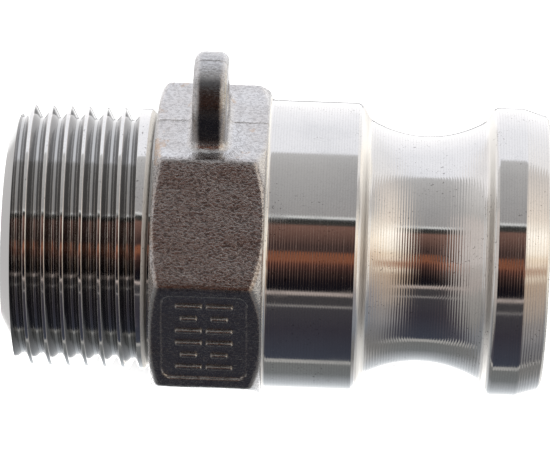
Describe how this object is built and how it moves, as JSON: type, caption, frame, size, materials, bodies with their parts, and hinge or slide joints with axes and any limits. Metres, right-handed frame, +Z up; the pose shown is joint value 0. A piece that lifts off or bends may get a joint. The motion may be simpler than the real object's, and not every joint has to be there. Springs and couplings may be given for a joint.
{
  "type": "camlock coupling adapter",
  "caption": "Stainless cam and groove plug with a right-hand male pipe thread, an octagonal wrench band, a chain lug and a collar with a cam groove and sealing flange.",
  "frame": {"origin": "centre of the bore at the thread's end face", "axes": "+X along the bore from the thread end to the cam end; +Z up, with the part lying on one flat of its octagonal band; the lug is on the flat between +Y and +Z"},
  "size_m": [0.068, 0.0412, 0.0412],
  "materials": {
    "machined_steel": "turned, with fine lathe lines round the axis",
    "cast_steel": "as cast and blasted, matt and finely grained"
  },
  "bodies": {
    "root": {"adapter_body": "machined_steel"}
  },
  "joints": []
}
